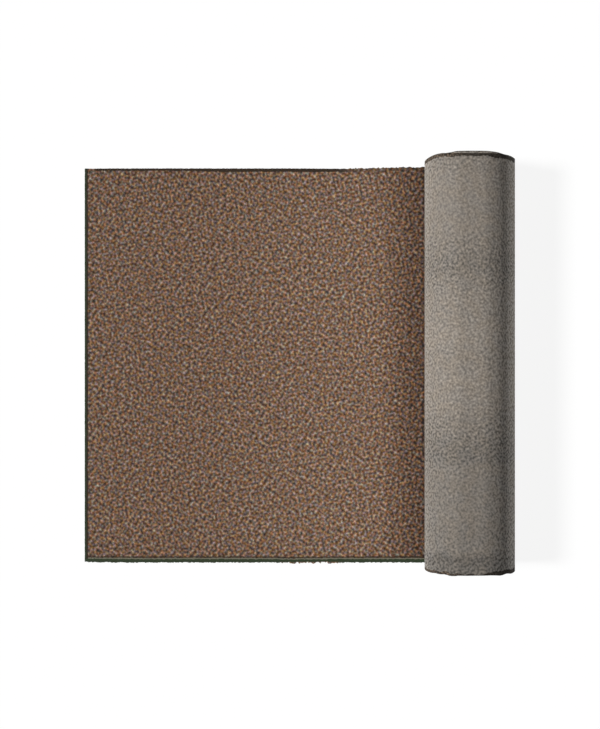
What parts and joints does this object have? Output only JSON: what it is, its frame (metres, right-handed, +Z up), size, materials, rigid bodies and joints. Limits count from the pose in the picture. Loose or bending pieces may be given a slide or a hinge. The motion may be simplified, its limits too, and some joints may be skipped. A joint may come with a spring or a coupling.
{
  "type": "roll of roofing felt",
  "caption": "Roll of mineral-surfaced roofing felt lying on its side with its free end laid out flat, wound sanded back outwards round an open bore.",
  "frame": {"origin": "on the floor, in the middle of the felt's outline seen from above", "axes": "+X along the laid stretch towards the roll, +Y along the roll's axis towards the end where the inner turns stand out, +Z up"},
  "size_m": [1.0719, 1.016, 0.22],
  "materials": {
    "mineral_felt": "matte"
  },
  "bodies": {
    "root": {"roofing_felt": "mineral_felt"}
  },
  "joints": []
}
